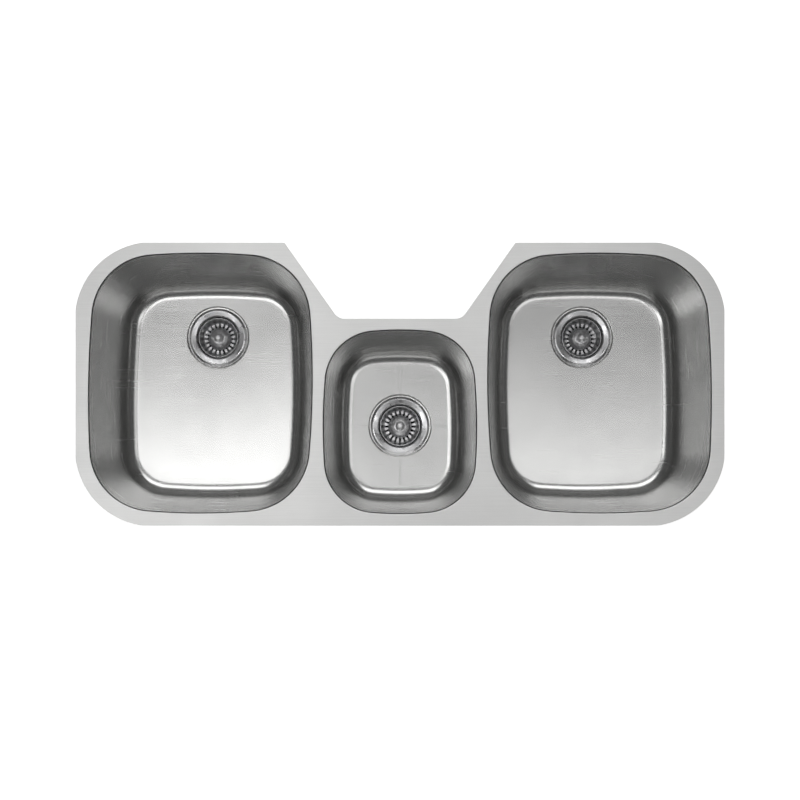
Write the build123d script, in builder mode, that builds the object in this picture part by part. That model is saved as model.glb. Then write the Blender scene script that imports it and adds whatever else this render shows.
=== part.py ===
"""Undermount kitchen sink with three bowls, each with its own basket strainer.

Millimetres. The origin is the middle of the deck's upper face, which goes up against the
underside of a worktop. +X runs along the sink, +Y points to the wall behind it, +Z is up.
"""

import os
from dataclasses import dataclass
from math import cos, radians, tan

from build123d import *

# Deck: one stamped plate, notched at the back between the large bowls
sheet = 1.2  # 18 gauge stainless steel, in the deck and in the bowls
deck_length = 1168.0
deck_depth = 509.6
deck_corner_radius = 140.5
edge_trim = 1.3  # how far the straight edges cut into the corner arcs
notch_mouth = 415.2  # notch width at the deck's back edge
notch_floor = 222.0  # notch width at its bottom
notch_root_radius = 22.0
notch_tip_radius = 3.0
lip_radius = 2.0  # inside of the bend from the deck down into a bowl
collar_height = 8.0  # turned-down collar of the deck, butt-welded to the bowl

# Bowls: deep drawn and drafted, with floors that fall to the drain
large_width = 401.2
large_length = 466.4
large_depth = 229.0
middle_width = 274.7
middle_length = 329.3
middle_depth = 178.0
side_flange = 24.0  # from the deck's end to a large bowl's mouth
back_flange = 19.7  # behind the large bowls
front_flange = 22.25  # in front of the middle bowl
notch_flange = 21.25  # between the notch and the middle bowl
large_x = deck_length / 2 - side_flange - large_width / 2
large_y = deck_depth / 2 - back_flange - large_length / 2
middle_y = front_flange + middle_length / 2 - deck_depth / 2
notch_root = middle_y + middle_length / 2 + notch_flange
draft = 8.0
floor_radius = 25.0
floor_fall = 1.0  # degrees
throat_radius = 40.5  # inside of the strainer's cup, which sets the recess and the drain hole
recess_radius = throat_radius + 18.5
recess_depth = 4.0
recess_edge_radius = 2.0
recess_root_radius = 1.0
drain_hole_radius = throat_radius + 4.0

# Sound-deadening pads, bonded to the outside of the bowls
pad_thickness = 2.0
pad_margin = 72.0  # from the bowl's mouth, seen from above, to the edge of its floor pad
pad_corner_radius = 18.0
pad_recess_clearance = 12.0
side_pad_length = 220.0
side_pad_height = 95.0
side_pad_top = 45.0  # below the deck

# Strainer body. Heights and depths in a strainer are from the floor of the bowl's recess.
seal_thickness = 1.0
flange_radius = recess_radius - 3.0
flange_edge = 1.0
flange_crest = 3.4
flange_crest_radius = flange_radius - 4.5
flange_slope_radius = throat_radius + 2.1
flange_slope_depth = 2.0  # from the crest down to the throat's lead-in
throat_lead = 3.0
cup_wall = 2.0
cup_depth = 36.0
seat_radius = 21.0
seat_depth = 44.5
outlet_radius = 19.0
outlet_depth = 68.0
socket_radius = outlet_radius + 0.6  # a 38.1 mm tailpiece slides in
socket_depth = 54.0  # where the ledge is that stops the tailpiece
stub_radius = 23.7
hub_radius = 9.0
hub_bore_radius = 6.0
spoke_count = 4
spoke_width = 3.0
crossbar_depth = 49.0
crossbar_height = 4.0

# Ring-shaped hardware under the bowl
washer_thickness = 3.5
washer_radius = flange_radius - 0.5
friction_thickness = 1.0
friction_radius = flange_radius - 2.0
ring_clearance = 0.3
locknut_height = 13.0
locknut_radius = friction_radius - 4.0
locknut_flange_height = 4.0
lug_count = 6
lug_width = 10.0
thread_clearance = 0.05
tail_washer_thickness = 2.5
tail_washer_radius = 23.3
coupling_radius = 29.0
coupling_height = 21.0
coupling_floor = 3.5
grip_count = 12
grip_radius = 2.2

# Basket, pressed from sheet and shown pushed down to close the drain
basket_sheet = 0.8
basket_bead_radius = 1.1
basket_rim_radius = throat_radius - 1.9
basket_rim_depth = 1.5
trough_radius = basket_rim_radius - 5.6
trough_depth = 31.0
crown_radius = trough_radius - 13.8
crown_depth = 21.0
trough_inner_radius = crown_radius + 1.2
basket_bend = 5.0
slot_count = 20
slot_width = 3.8
slot_start_radius = crown_radius + 2.2
slot_end_radius = trough_radius - 1.2
slot_rise = 7.0

# Post: knob, neck, skirt and stem, turned in one piece
knob_radius = 8.8
knob_top = 4.5
knob_height = 6.0
knob_crown = 3.2  # how far the knob's edge lies below its top
neck_radius = 5.0
skirt_radius = crown_radius - 2.0
skirt_height = 6.5
skirt_shoulder = 3.0
stem_radius = 4.0
stem_depth = socket_depth - 0.5
groove_radius = 3.0

# Stopper: the rubber plug that carries the basket, and the clip that keeps it on the stem
body_gap = 0.3  # between the stopper and the pieces it only rests against
running_clearance = 0.05
stopper_radius = 26.0
stopper_plate = 4.0
stopper_boss_radius = 10.0
stopper_foot_radius = outlet_radius - 0.6
stopper_foot_depth = 45.5
clip_thickness = 0.5
clip_radius = 6.4
clip_mouth = 4.6


@dataclass(frozen=True)
class Bowl:
    """One bowl. Its four sides bulge slightly outwards and meet in corner arcs."""

    name: str
    hand: int  # -1 for the left bowl, +1 for the others: the way the outer side faces
    centre: tuple
    width: float
    length: float
    depth: float
    corner_radius: float
    outer_bulge: float  # radius of the outer side
    inner_bulge: float
    end_bulge: float
    outer_peak: float  # where the outer side is widest, in Y from the bowl's centre
    inner_peak: float
    drain: tuple  # from the bowl's centre, outwards and backwards

    @property
    def drain_at(self):
        """Centre of the drain in plan."""
        return (self.centre[0] + self.hand * self.drain[0], self.centre[1] + self.drain[1])

    @property
    def recess_floor(self):
        """Height of the recess floor that the strainer's flange sits in."""
        return -self.depth - recess_depth


def large_bowl(name, hand):
    """A large bowl on the left (-1) or on the right (+1)."""
    return Bowl(
        name=name,
        hand=hand,
        centre=(hand * large_x, large_y),
        width=large_width,
        length=large_length,
        depth=large_depth,
        corner_radius=113.0,
        outer_bulge=4.74 * large_width,
        inner_bulge=3.99 * large_width,
        end_bulge=2.57 * large_length,
        outer_peak=-27.0,
        inner_peak=8.0,
        drain=(-6.0, 104.0),
    )


middle_bowl = Bowl(
    name="middle",
    hand=1,
    centre=(0.0, middle_y),
    width=middle_width,
    length=middle_length,
    depth=middle_depth,
    corner_radius=92.0,
    outer_bulge=3.82 * middle_width,
    inner_bulge=3.82 * middle_width,
    end_bulge=1.82 * middle_length,
    outer_peak=-8.0,
    inner_peak=-8.0,
    drain=(0.0, 0.0),
)
bowls = [large_bowl("left", -1), middle_bowl, large_bowl("right", 1)]


def upright_plane(bowl):
    """Plane through a bowl's drain axis: its x is the radius, its y the height above the recess floor."""
    x, y = bowl.drain_at
    return Plane(origin=(x, y, bowl.recess_floor), x_dir=(1, 0, 0), z_dir=(0, -1, 0))


def drain_axis(bowl):
    """Upright axis through the middle of a bowl's drain."""
    return Axis((*bowl.drain_at, 0), (0, 0, 1))


def level(bowl, height):
    """Level plane at a height above a bowl's recess floor, with its origin on the drain axis."""
    return Plane((*bowl.drain_at, bowl.recess_floor + height))


def turned(bowl, corners):
    """Solid turned about a drain axis from corners of (radius, height, rounding)."""
    with BuildPart() as piece:
        with BuildSketch(upright_plane(bowl)) as section:
            with BuildLine():
                Polyline([(radius, height) for radius, height, rounding in corners], close=True)
            make_face()
            for radius, height, rounding in corners:
                if rounding:
                    fillet(section.vertices().sort_by_distance((radius, height))[0], rounding)
        revolve(axis=drain_axis(bowl))
    return piece.part


def flat_ring(bowl, inner, outer, top, thickness):
    """Plain ring about a drain axis, from its top downwards."""
    bottom = top - thickness
    return turned(bowl, [(inner, top, 0), (outer, top, 0), (outer, bottom, 0), (inner, bottom, 0)])


def mouth(bowl, grow):
    """Outline of a bowl's mouth in the deck's upper face, grown outwards."""
    x, y = bowl.centre
    side = bowl.width / 2
    end = bowl.length / 2
    arcs = [
        (x + bowl.hand * (side - bowl.outer_bulge), y + bowl.outer_peak, bowl.outer_bulge),
        (x - bowl.hand * (side - bowl.inner_bulge), y + bowl.inner_peak, bowl.inner_bulge),
        (x, y + end - bowl.end_bulge, bowl.end_bulge),
        (x, y - end + bowl.end_bulge, bowl.end_bulge),
    ]
    with BuildSketch() as outline:
        for number, (arc_x, arc_y, bulge) in enumerate(arcs):
            with Locations((arc_x, arc_y)):
                Circle(bulge + grow, mode=Mode.INTERSECT if number else Mode.ADD)
        fillet(outline.vertices(), bowl.corner_radius + grow)
    return outline.sketch


def drafted_walls(bowl, grow, depth):
    """Solid inside a bowl's drafted walls, grown square to them, from the deck's upper face down."""
    with BuildPart() as walls:
        with BuildSketch():
            add(mouth(bowl, grow / cos(radians(draft))))
        extrude(amount=depth + collar_height, dir=(0, 0, -1), taper=draft)
        split(bisect_by=Plane.XY.offset(-depth), keep=Keep.TOP)
    return walls.part


def basin(bowl, grow):
    """Solid of a bowl's hollow without its drain recess, grown square to walls and floor."""
    reach = bowl.width + bowl.length
    floor = recess_depth - grow
    low = -recess_depth - bowl.depth
    far = floor + (reach - recess_radius) * tan(radians(floor_fall))
    with BuildPart() as form:
        add(drafted_walls(bowl, grow, bowl.depth + 2 * recess_depth))
        with BuildSketch(upright_plane(bowl)):
            with BuildLine():
                Polyline([(0, floor), (recess_radius, floor), (reach, far), (reach, low), (0, low)], close=True)
            make_face()
        revolve(axis=drain_axis(bowl), mode=Mode.SUBTRACT)
        falling_floor = form.faces().sort_by(Axis.Z)[1]
        fillet(falling_floor.outer_wire().edges(), floor_radius + grow)
    return form.part


def recessed_basin(bowl, grow):
    """Solid of a bowl's hollow with its drain recess."""
    with BuildPart() as form:
        add(basin(bowl, grow))
        with BuildSketch(level(bowl, -grow)):
            Circle(recess_radius + grow)
        extrude(amount=recess_depth + 1)
        fillet(form.faces().sort_by(Axis.Z)[0].edges(), recess_root_radius + grow)
        circles = form.edges().filter_by(GeomType.CIRCLE).sort_by(Axis.Z)
        rims = [edge for edge in circles if abs(edge.radius - recess_radius - grow) < 0.01]
        fillet(rims[-1], recess_edge_radius - grow)
    return form.part


def inner_edges(piece, height):
    """Edges round the openings in a piece's level face at a height."""
    face = piece.faces().filter_by(GeomType.PLANE).filter_by_position(Axis.Z, height - 0.01, height + 0.01)[0]
    return [edge for wire in face.inner_wires() for edge in wire.edges()]


def deck_plate():
    """Flat deck with its trimmed corners and its notch."""
    back = deck_depth / 2
    notch_depth = back - notch_root
    flare = (notch_mouth - notch_floor) / 2
    beyond = notch_mouth / 2 + flare
    with BuildPart() as plate:
        with BuildSketch(Plane.XY.offset(-sheet)) as outline:
            RectangleRounded(deck_length + 2 * edge_trim, deck_depth + 2 * edge_trim, deck_corner_radius)
            Rectangle(deck_length, deck_depth, mode=Mode.INTERSECT)
            with BuildLine():
                Polyline(
                    [
                        (-notch_floor / 2, notch_root),
                        (notch_floor / 2, notch_root),
                        (beyond, back + notch_depth),
                        (-beyond, back + notch_depth),
                    ],
                    close=True,
                )
            make_face(mode=Mode.SUBTRACT)
            inner = [corner for corner in outline.vertices() if abs(corner.X) < notch_mouth / 2 + 1]
            roots = [corner for corner in inner if abs(corner.Y - notch_root) < 1]
            tips = [corner for corner in inner if abs(corner.Y - back) < 1]
            fillet(roots, notch_root_radius)
            fillet(tips, notch_tip_radius)
        extrude(amount=sheet)
    return plate.part


def deck():
    """Deck plate with a turned-down collar round each bowl's mouth."""
    with BuildPart() as pressed:
        add(deck_plate())
        for bowl in bowls:
            add(drafted_walls(bowl, sheet, collar_height))
        fillet(inner_edges(pressed, -sheet), lip_radius)
        for bowl in bowls:
            add(drafted_walls(bowl, 0, 2 * collar_height), mode=Mode.SUBTRACT)
        fillet(inner_edges(pressed, 0), lip_radius + sheet)
    return pressed.part


def bowl_shell(bowl):
    """Drawn bowl from the weld under the deck's collar down, with its drain hole."""
    with BuildPart() as shell:
        add(recessed_basin(bowl, sheet))
        add(recessed_basin(bowl, 0), mode=Mode.SUBTRACT)
        with BuildSketch(level(bowl, -2 * sheet)):
            Circle(drain_hole_radius)
        extrude(amount=recess_depth, mode=Mode.SUBTRACT)
        split(bisect_by=Plane.XY.offset(-collar_height), keep=Keep.BOTTOM)
    return shell.part


def pad_skin(bowl):
    """Layer as thick as a pad, all over the outside of a bowl."""
    with BuildPart() as skin:
        add(basin(bowl, sheet + pad_thickness))
        add(basin(bowl, sheet), mode=Mode.SUBTRACT)
    return skin.part


def floor_pad(bowl):
    """Pad under a bowl's floor, cut away round the drain."""
    with BuildPart() as pad:
        add(pad_skin(bowl))
        with BuildSketch(Plane.XY.offset(-bowl.depth - 4 * recess_depth)):
            with Locations(bowl.centre):
                RectangleRounded(
                    bowl.width - 2 * pad_margin, bowl.length - 2 * pad_margin, pad_corner_radius
                )
            with Locations(bowl.drain_at):
                Circle(recess_radius + pad_recess_clearance, mode=Mode.SUBTRACT)
        extrude(amount=bowl.depth, mode=Mode.INTERSECT)
    return pad.part


def side_pad(bowl):
    """Pad on the outer wall of a large bowl."""
    outwards = Plane(origin=(bowl.centre[0], bowl.centre[1], 0), x_dir=(0, 1, 0), z_dir=(bowl.hand, 0, 0))
    middle = side_pad_top + side_pad_height / 2
    with BuildPart() as pad:
        add(pad_skin(bowl))
        with BuildSketch(outwards):
            with Locations((0, -bowl.hand * middle)):
                RectangleRounded(side_pad_length, side_pad_height, pad_corner_radius)
        extrude(amount=bowl.width, mode=Mode.INTERSECT)
    return pad.part


def seat_height(radius):
    """Height of the strainer body's conical floor, the stopper's seat, at a radius."""
    slope = (seat_depth - cup_depth) / (throat_radius - seat_radius)
    return -seat_depth + (radius - seat_radius) * slope


def strainer_body(bowl):
    """Flange, cup and threaded outlet, cast and turned in one piece."""
    outer_cup = throat_radius + cup_wall
    shell = cup_wall * 1.1  # the cone's wall, measured upright
    slope_foot = seal_thickness + flange_crest - flange_slope_depth
    return turned(
        bowl,
        [
            (flange_radius, seal_thickness, 0.3),
            (flange_radius, seal_thickness + flange_edge, 0.3),
            (flange_crest_radius, seal_thickness + flange_crest, 3.0),
            (flange_slope_radius, slope_foot, 1.5),
            (throat_radius, slope_foot - throat_lead, 1.0),
            (throat_radius, seat_height(throat_radius), 6.0),
            (seat_radius, seat_height(seat_radius), 0.8),
            (outlet_radius, -seat_depth - 2.0, 0.5),
            (outlet_radius, -socket_depth, 0),
            (socket_radius, -socket_depth, 0),
            (socket_radius, -outlet_depth, 0),
            (stub_radius, -outlet_depth, 0.4),
            (stub_radius, seat_height(stub_radius) - shell, 1.5),
            (outer_cup, seat_height(outer_cup) - shell, 8.0),
            (outer_cup, seal_thickness, 0.5),
        ],
    )


def crossbar(bowl):
    """Spider pressed into the outlet: its hub guides the stem and its spokes hold back cutlery."""
    with BuildPart() as spider:
        with BuildSketch(level(bowl, -crossbar_depth - crossbar_height)):
            Circle(hub_radius)
            with PolarLocations((outlet_radius + 1) / 2, spoke_count):
                Rectangle(outlet_radius + 1, spoke_width)
            Circle(outlet_radius, mode=Mode.INTERSECT)
            Circle(hub_bore_radius, mode=Mode.SUBTRACT)
        extrude(amount=crossbar_height)
    return spider.part


def seal_ring(bowl):
    """Putty ring under the flange, in the bowl's recess."""
    return flat_ring(bowl, drain_hole_radius + 1, flange_radius - 0.5, seal_thickness, seal_thickness)


def under_washer(bowl):
    """Rubber washer against the underside of the recess."""
    inner = throat_radius + cup_wall + ring_clearance
    return flat_ring(bowl, inner, washer_radius, -sheet, washer_thickness)


def friction_ring(bowl):
    """Card ring that lets the locknut slip on the rubber washer."""
    inner = throat_radius + cup_wall + ring_clearance
    return flat_ring(bowl, inner, friction_radius, -sheet - washer_thickness, friction_thickness)


def locknut(bowl):
    """Large nut with lugs that pulls the strainer body down on its seals."""
    top = -sheet - washer_thickness - friction_thickness
    with BuildPart() as nut:
        with BuildSketch(level(bowl, top - locknut_flange_height)):
            Circle(friction_radius)
        extrude(amount=locknut_flange_height)
        with BuildSketch(level(bowl, top - locknut_height)):
            Circle(locknut_radius)
            with PolarLocations((locknut_radius + friction_radius) / 2, lug_count):
                Rectangle(friction_radius - locknut_radius + 2, lug_width)
        extrude(amount=locknut_height - 1)
        chamfer(nut.edges().group_by(Axis.Z)[0], 0.6)
        with BuildSketch(level(bowl, top - locknut_height)):
            Circle(throat_radius + cup_wall + thread_clearance)
        extrude(amount=locknut_height, mode=Mode.SUBTRACT)
    return nut.part


def tail_washer(bowl):
    """Washer between the outlet's end and the floor of the coupling nut."""
    return flat_ring(bowl, socket_radius, tail_washer_radius, -outlet_depth, tail_washer_thickness)


def coupling_nut(bowl):
    """Ribbed nut that clamps a tailpiece to the threaded outlet."""
    bottom = -outlet_depth - tail_washer_thickness - coupling_floor
    with BuildPart() as nut:
        with BuildSketch(level(bowl, bottom)):
            Circle(coupling_radius - grip_radius / 2)
            with PolarLocations(coupling_radius - grip_radius, grip_count):
                Circle(grip_radius)
        extrude(amount=coupling_height)
        chamfer(nut.edges().group_by(Axis.Z)[0], 0.5)
        chamfer(nut.edges().group_by(Axis.Z)[-1], 0.5)
        with BuildSketch(level(bowl, bottom)):
            Circle(socket_radius)
        extrude(amount=coupling_floor, mode=Mode.SUBTRACT)
        with BuildSketch(level(bowl, bottom + coupling_floor)):
            Circle(stub_radius + thread_clearance)
        extrude(amount=coupling_height, mode=Mode.SUBTRACT)
    return nut.part


def basket(bowl):
    """Perforated basket: beaded rim, steep wall, slotted trough and raised crown."""
    bead = basket_rim_radius - basket_bead_radius
    with BuildPart() as cup:
        with BuildSketch(upright_plane(bowl)):
            with BuildLine() as section:
                FilletPolyline(
                    [
                        (bead, -basket_rim_depth - basket_bead_radius),
                        (trough_radius, -trough_depth + basket_sheet / 2),
                        (trough_inner_radius, -trough_depth + basket_sheet / 2),
                        (crown_radius, -crown_depth),
                        (stem_radius + running_clearance, -crown_depth),
                    ],
                    radius=basket_bend,
                )
            trace(section.line, line_width=basket_sheet)
            with Locations((bead, -basket_rim_depth - basket_bead_radius)):
                Circle(basket_bead_radius)
        revolve(axis=drain_axis(bowl))
        with BuildSketch(level(bowl, -trough_depth - 1)):
            with PolarLocations((slot_start_radius + slot_end_radius) / 2, slot_count):
                SlotOverall(slot_end_radius - slot_start_radius, slot_width)
        extrude(amount=slot_rise + 1, mode=Mode.SUBTRACT)
    return cup.part


def post(bowl):
    """Knob, neck, skirt over the basket's crown, and the stem with its clip groove."""
    crown_top = -crown_depth + basket_sheet / 2
    spread = skirt_radius - neck_radius
    groove_top = -stopper_foot_depth - body_gap
    groove_bottom = groove_top - clip_thickness
    return turned(
        bowl,
        [
            (0, knob_top, 0),
            (knob_radius * 0.45, knob_top, 5.0),
            (knob_radius, knob_top - knob_crown, 1.4),
            (knob_radius, knob_top - knob_height, 0.8),
            (neck_radius, knob_top - knob_height, 0.5),
            (neck_radius, crown_top + skirt_height, spread * 0.2),
            (neck_radius + spread * 0.45, crown_top + skirt_height, spread * 0.5),
            (skirt_radius, crown_top + skirt_shoulder, 2.0),
            (skirt_radius, crown_top, 0),
            (stem_radius, crown_top, 0),
            (stem_radius, groove_top, 0),
            (groove_radius, groove_top, 0),
            (groove_radius, groove_bottom, 0),
            (stem_radius, groove_bottom, 0),
            (stem_radius, -stem_depth, 0.8),
            (0, -stem_depth, 0),
        ],
    )


def stopper(bowl):
    """Rubber plug over the seat, with a boss up to the basket's crown."""
    bore = stem_radius + running_clearance
    boss_top = -crown_depth - basket_sheet / 2 - body_gap
    rest = body_gap * 1.1  # the gap to the conical seat, measured upright
    rim = seat_height(stopper_radius) + rest
    inner_rim = seat_radius - 0.8
    return turned(
        bowl,
        [
            (bore, boss_top, 0),
            (stopper_boss_radius, boss_top, 1.0),
            (stopper_boss_radius, rim + stopper_plate, 2.0),
            (stopper_radius, rim + stopper_plate, 1.0),
            (stopper_radius, rim, 0.8),
            (inner_rim, seat_height(inner_rim) + rest, 0.3),
            (stopper_foot_radius, -stopper_foot_depth, 0.4),
            (bore, -stopper_foot_depth, 0),
        ],
    )


def stem_clip(bowl):
    """Open spring ring in the stem's groove, under the stopper."""
    with BuildPart() as clip:
        with BuildSketch(level(bowl, -stopper_foot_depth - body_gap - clip_thickness)):
            Circle(clip_radius)
            Circle(groove_radius, mode=Mode.SUBTRACT)
            with Locations((0, clip_radius / 2)):
                Rectangle(clip_mouth, clip_radius + 1, mode=Mode.SUBTRACT)
        extrude(amount=clip_thickness)
    return clip.part


strainer_pieces = {
    "strainer_body": strainer_body,
    "crossbar": crossbar,
    "seal_ring": seal_ring,
    "under_washer": under_washer,
    "friction_ring": friction_ring,
    "locknut": locknut,
    "tail_washer": tail_washer,
    "coupling_nut": coupling_nut,
    "basket": basket,
    "post": post,
    "stopper": stopper,
    "stem_clip": stem_clip,
}


def save(piece, name):
    """Write one labelled node as a STEP file."""
    piece.label = name
    export_step(piece, f"parts/{name}.step")


def main():
    """Build every node and write it."""
    os.makedirs("parts", exist_ok=True)
    save(deck(), "deck")
    for bowl in bowls:
        save(bowl_shell(bowl), f"{bowl.name}_bowl")
        save(floor_pad(bowl), f"{bowl.name}_floor_pad")
        if bowl is not middle_bowl:
            save(side_pad(bowl), f"{bowl.name}_side_pad")
        for name, piece in strainer_pieces.items():
            save(piece(bowl), f"{bowl.name}_{name}")


if __name__ == "__main__":
    main()
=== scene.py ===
"""Dresses a stainless steel sink with three bowls, hung under a worktop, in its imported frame.

Lengths in the dataclasses are metres unless a name says millimetres. Every piece stands where the
frame's own nodes stand, and rides on the frame's bodies.
"""

import logging
import math
from dataclasses import dataclass, field
from enum import Enum
from typing import NamedTuple

import bmesh
import bpy
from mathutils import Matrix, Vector


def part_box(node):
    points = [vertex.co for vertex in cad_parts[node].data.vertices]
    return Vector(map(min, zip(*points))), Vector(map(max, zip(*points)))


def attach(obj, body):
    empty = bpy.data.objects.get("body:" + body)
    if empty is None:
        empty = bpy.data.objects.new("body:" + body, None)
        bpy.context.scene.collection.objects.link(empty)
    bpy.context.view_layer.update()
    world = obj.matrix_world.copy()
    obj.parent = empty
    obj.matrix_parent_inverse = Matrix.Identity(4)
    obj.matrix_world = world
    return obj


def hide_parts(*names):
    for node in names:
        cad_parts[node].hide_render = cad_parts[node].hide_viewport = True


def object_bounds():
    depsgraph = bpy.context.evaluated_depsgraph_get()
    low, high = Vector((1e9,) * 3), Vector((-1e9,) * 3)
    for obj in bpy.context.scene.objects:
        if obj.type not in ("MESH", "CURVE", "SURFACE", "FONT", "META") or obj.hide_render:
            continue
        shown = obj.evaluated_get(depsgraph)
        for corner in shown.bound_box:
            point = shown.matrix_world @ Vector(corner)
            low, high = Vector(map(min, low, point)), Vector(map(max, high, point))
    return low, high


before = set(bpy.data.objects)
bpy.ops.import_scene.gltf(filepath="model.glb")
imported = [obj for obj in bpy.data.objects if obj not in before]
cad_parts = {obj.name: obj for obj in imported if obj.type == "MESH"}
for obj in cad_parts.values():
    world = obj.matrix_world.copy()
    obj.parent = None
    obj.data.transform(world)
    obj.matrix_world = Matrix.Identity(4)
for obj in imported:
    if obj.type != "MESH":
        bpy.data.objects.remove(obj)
cad_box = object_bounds()
log = logging.getLogger("sink")

MM = 0.001
TOUCHING = 0.001 * MM
WAVE_TURN = 20.0  # radians that a wave pattern of scale one turns through in a metre
SINK = "sink"


class Side(Enum):
    """Where a bowl sits in the deck."""

    LEFT = "left"
    MIDDLE = "middle"
    RIGHT = "right"


class Grain(Enum):
    """Name of the UV map that carries a surface's brushing direction."""

    MAP = "grain"


def hex_to_linear(code: str) -> tuple[float, float, float, float]:
    """Turn an sRGB hex colour into linear light.

    Args:
        code: six hex digits, with or without a leading hash.

    Returns:
        Red, green, blue and an alpha of one.
    """
    digits = code.lstrip("#")
    channels = []
    for start in (0, 2, 4):
        value = int(digits[start : start + 2], 16) / 255
        channels.append(value / 12.92 if value <= 0.04045 else ((value + 0.055) / 1.055) ** 2.4)
    return (channels[0], channels[1], channels[2], 1.0)


def add_node(
    tree: bpy.types.NodeTree, kind: str, settings: dict | None = None, **sockets: object
) -> bpy.types.Node:
    """Add one node with its settings, and set or link its inputs.

    Args:
        tree: the tree that gets the node.
        kind: the node's type name.
        settings: attributes of the node itself, such as an operation.
        **sockets: inputs by name, with underscores for spaces, or by number as i0, i1 and so on. An
            output socket is linked and any other value is set.

    Returns:
        The new node.
    """
    node = tree.nodes.new(kind)
    for name, value in (settings or {}).items():
        setattr(node, name, value)
    for name, value in sockets.items():
        numbered = name[0] == "i" and name[1:].isdigit()
        socket = node.inputs[int(name[1:])] if numbered else node.inputs[name.replace("_", " ")]
        if isinstance(value, bpy.types.NodeSocket):
            tree.links.new(value, socket)
        else:
            socket.default_value = value
    return node


@dataclass(frozen=True)
class Finish:
    """A real material and how its surface was made."""

    name: str
    colour: str
    roughness: float

    def start(self) -> tuple[bpy.types.Material, bpy.types.NodeTree, bpy.types.Node]:
        """Make an empty material with a shader that shows this finish's plain colour.

        Returns:
            The material, its node tree and its shader.
        """
        material = bpy.data.materials.new(self.name)
        material.use_nodes = True
        tree = material.node_tree
        tree.nodes.clear()
        shader = add_node(tree, "ShaderNodeBsdfPrincipled")
        shader.inputs["Base Color"].default_value = hex_to_linear(self.colour)
        shader.inputs["Roughness"].default_value = self.roughness
        output = add_node(tree, "ShaderNodeOutputMaterial")
        tree.links.new(shader.outputs["BSDF"], output.inputs["Surface"])
        material.diffuse_color = hex_to_linear(self.colour)
        return material, tree, shader

    def tint(self, tree: bpy.types.NodeTree, shader: bpy.types.Node, tone: bpy.types.NodeSocket) -> None:
        """Lighten and darken the plain colour.

        Args:
            tree: the material's node tree.
            shader: its shader.
            tone: what the colour is multiplied by.
        """
        tinted = add_node(
            tree,
            "ShaderNodeMix",
            {"data_type": "RGBA", "blend_type": "MULTIPLY"},
            i0=1.0,
            i6=hex_to_linear(self.colour),
            i7=tone,
        )
        tree.links.new(tinted.outputs[2], shader.inputs["Base Color"])

    def emboss(
        self, tree: bpy.types.NodeTree, shader: bpy.types.Node, height: bpy.types.NodeSocket, depth_mm: float
    ) -> None:
        """Tilt the surface along a pattern's slopes.

        Args:
            tree: the material's node tree.
            shader: its shader.
            height: the pattern.
            depth_mm: how far the pattern's crests stand above its troughs.
        """
        relief = add_node(tree, "ShaderNodeBump", Strength=1.0, Distance=depth_mm * MM, Height=height)
        tree.links.new(relief.outputs[0], shader.inputs["Normal"])


def vary(
    tree: bpy.types.NodeTree, pattern: bpy.types.NodeSocket, low: float, high: float, reach: float = 0.2
) -> bpy.types.NodeSocket:
    """Value that follows a noise between two limits.

    Args:
        tree: the tree that holds the noise.
        pattern: the noise, which keeps near a half.
        low: the value in its troughs.
        high: the value on its crests.
        reach: how far from a half its troughs and crests lie.

    Returns:
        The value's socket.
    """
    spread = add_node(
        tree,
        "ShaderNodeMapRange",
        Value=pattern,
        From_Min=0.5 - reach,
        From_Max=0.5 + reach,
        To_Min=low,
        To_Max=high,
    )
    return spread.outputs[0]


@dataclass(frozen=True)
class BrushedStainless(Finish):
    """Cold-rolled 304 stainless steel, belt-brushed along the grain map's U to a satin lustre.

    The eye sees long, soft highlights square to the brushing and a faint, uneven streak along it.
    Real scratches are a few hundredths of a millimetre wide, so they are drawn coarser.
    """

    anisotropy: float = 0.7
    highlight_turn: float = 0.25
    streak_width_mm: float = 2.4
    streak_length_mm: float = 120.0
    streak_depth_mm: float = 0.0002
    streak_reach: float = 0.25
    patch_mm: float = 70.0
    tone: float = 0.06
    patchiness: float = 0.05
    unevenness: float = 0.06

    def material(self) -> bpy.types.Material:
        """Build the material."""
        material, tree, shader = self.start()
        shader.inputs["Metallic"].default_value = 1.0
        shader.inputs["Anisotropic"].default_value = self.anisotropy
        shader.inputs["Anisotropic Rotation"].default_value = self.highlight_turn
        place = add_node(tree, "ShaderNodeUVMap", {"uv_map": Grain.MAP.value})
        stretch = (1 / (self.streak_length_mm * MM), 1 / (self.streak_width_mm * MM), 1.0)
        along = add_node(tree, "ShaderNodeMapping", Vector=place.outputs[0], Scale=stretch)
        streaks = add_node(tree, "ShaderNodeTexNoise", Vector=along.outputs[0], Scale=1.0, Detail=1.0)
        pattern = streaks.outputs["Fac"]
        spread = (1 / (self.patch_mm * MM), 1 / (self.patch_mm * MM), 1.0)
        wide = add_node(tree, "ShaderNodeMapping", Vector=place.outputs[0], Scale=spread)
        patches = add_node(tree, "ShaderNodeTexNoise", Vector=wide.outputs[0], Scale=1.0, Detail=2.0)
        streak_tone = vary(tree, pattern, 1 - self.tone / 2, 1 + self.tone / 2, self.streak_reach)
        patch_tone = vary(tree, patches.outputs["Fac"], 1 - self.patchiness / 2, 1 + self.patchiness / 2)
        tone = add_node(tree, "ShaderNodeMath", {"operation": "MULTIPLY"}, i0=streak_tone, i1=patch_tone)
        self.tint(tree, shader, tone.outputs[0])
        smoothest = self.roughness * (1 - self.unevenness)
        roughest = self.roughness * (1 + self.unevenness)
        rough = vary(tree, pattern, smoothest, roughest, self.streak_reach)
        tree.links.new(rough, shader.inputs["Roughness"])
        self.emboss(tree, shader, pattern, self.streak_depth_mm)
        grain = add_node(tree, "ShaderNodeTangent", {"direction_type": "UV_MAP", "uv_map": Grain.MAP.value})
        tree.links.new(grain.outputs[0], shader.inputs["Tangent"])
        return material


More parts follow.
